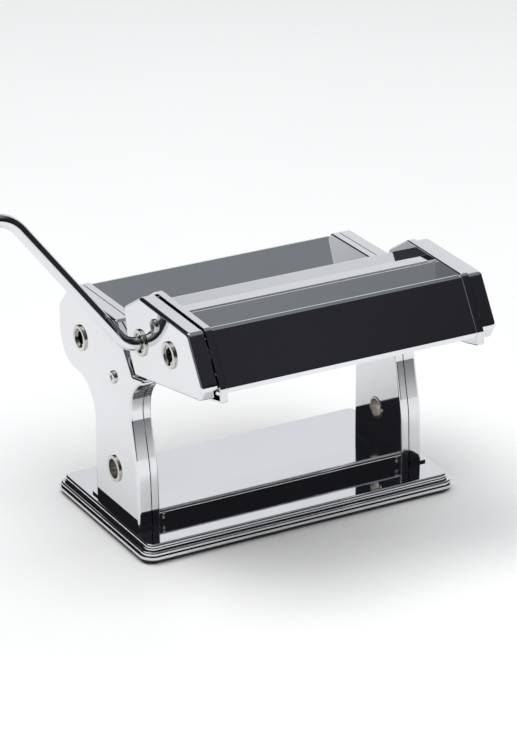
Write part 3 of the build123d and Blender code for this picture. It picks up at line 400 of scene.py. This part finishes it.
def make_floor():
    """Large pale floor with a faint variation."""
    side = FLOOR_REACH
    mesh = bpy.data.meshes.new("floor")
    mesh.from_pydata([(-side, -side, 0), (side, -side, 0), (side, side, 0), (-side, side, 0)], [],
                     [(0, 1, 2, 3)])
    floor = bpy.data.objects.new("floor", mesh)
    bpy.context.scene.collection.objects.link(floor)
    shader = Shader("floor_paint").set(Roughness=0.75)
    shader.link(shader.colours(shader.noise(FLOOR_CLOUD_SCALE), *FLOOR_SHADES), "Base Color")
    mesh.materials.append(shader.material)


def area_light(name, place, size, power):
    """Soft square lamp that faces the machine; chrome mirrors the sky's lobes instead of the lamp."""
    data = bpy.data.lights.new(name, "AREA")
    data.shape = "SQUARE"
    data.size = size
    data.energy = power
    lamp = bpy.data.objects.new(name, data)
    lamp.location = place
    towards = Vector(LAMP_AIM) - Vector(place)
    lamp.rotation_mode = "QUATERNION"
    lamp.rotation_quaternion = towards.to_track_quat("-Z", "Y")
    lamp.visible_glossy = False
    bpy.context.scene.collection.objects.link(lamp)


class Sky:
    """World colour built from soft round lobes, each around one direction."""

    def __init__(self, base):
        """Surroundings of one base colour, with vague lighter and darker shapes."""
        world = bpy.data.worlds.new("studio")
        bpy.context.scene.world = world
        world.use_nodes = True
        self.tree = world.node_tree
        self.place = self.tree.nodes.new("ShaderNodeTexCoord").outputs["Generated"]
        clutter = self.tree.nodes.new("ShaderNodeTexNoise")
        clutter.inputs["Scale"].default_value = CLUTTER_SCALE
        clutter.inputs["Detail"].default_value = 1.0
        self.tree.links.new(self.place, clutter.inputs["Vector"])
        ramp = self.tree.nodes.new("ShaderNodeValToRGB")
        for element, position, shade in zip(ramp.color_ramp.elements, (0.35, 0.68), CLUTTER_SHADES):
            element.position = position
            element.color = (*(shade * channel for channel in base), 1)
        self.tree.links.new(clutter.outputs["Fac"], ramp.inputs["Fac"])
        self.colour = ramp.outputs["Color"]

    def lobe(self, direction, colour, outer, inner):
        """Blend to a colour between two angles (degrees) from a direction."""
        dot = self.tree.nodes.new("ShaderNodeVectorMath")
        dot.operation = "DOT_PRODUCT"
        dot.inputs[1].default_value = Vector(direction).normalized()
        self.tree.links.new(self.place, dot.inputs[0])
        span = self.tree.nodes.new("ShaderNodeMapRange")
        span.interpolation_type = "SMOOTHSTEP"
        span.inputs["From Min"].default_value = math.cos(math.radians(outer))
        span.inputs["From Max"].default_value = math.cos(math.radians(inner))
        self.tree.links.new(dot.outputs["Value"], span.inputs["Value"])
        mix = self.tree.nodes.new("ShaderNodeMix")
        mix.data_type = "RGBA"
        self.tree.links.new(span.outputs["Result"], mix.inputs["Factor"])
        self.tree.links.new(self.colour, mix.inputs[MIX_FIRST])
        mix.inputs[MIX_SECOND].default_value = (*colour, 1)
        self.colour = mix.outputs[MIX_RESULT]

    def finish(self, strength):
        """Gives the world its colour."""
        background = self.tree.nodes["Background"]
        self.tree.links.new(self.colour, background.inputs["Color"])
        background.inputs["Strength"].default_value = strength


def make_world():
    """Dark room with a pale wall behind on the right, a ceiling softbox and a dim left wall."""
    sky = Sky((0.019, 0.019, 0.023))
    sky.lobe((0.0, -0.1, 1.0), (0.245, 0.262, 0.275), 50, 25)
    sky.lobe((-0.25, 0.30, 0.92), (1.0, 1.0, 1.0), 26, 18)
    sky.lobe((0.62, 0.70, 0.30), (0.83, 0.84, 0.86), 40, 20)
    sky.lobe((-0.95, -0.25, 0.10), (0.16, 0.17, 0.18), 30, 10)
    sky.finish(1.0)


def make_studio():
    """Floor, surroundings and two soft lamps."""
    make_floor()
    make_world()
    area_light("key_lamp", (-0.8, 0.45, 2.6), 1.8, 43)
    area_light("fill_lamp", (0.8, -1.3, 2.7), 2.6, 60)
    bpy.context.scene.view_settings.view_transform = "Standard"


# ---------------------------------------------------------------- put together
make_camera()
slot_materials = make_materials()
dress_nodes(slot_materials)
add_details(slot_materials)
make_studio()
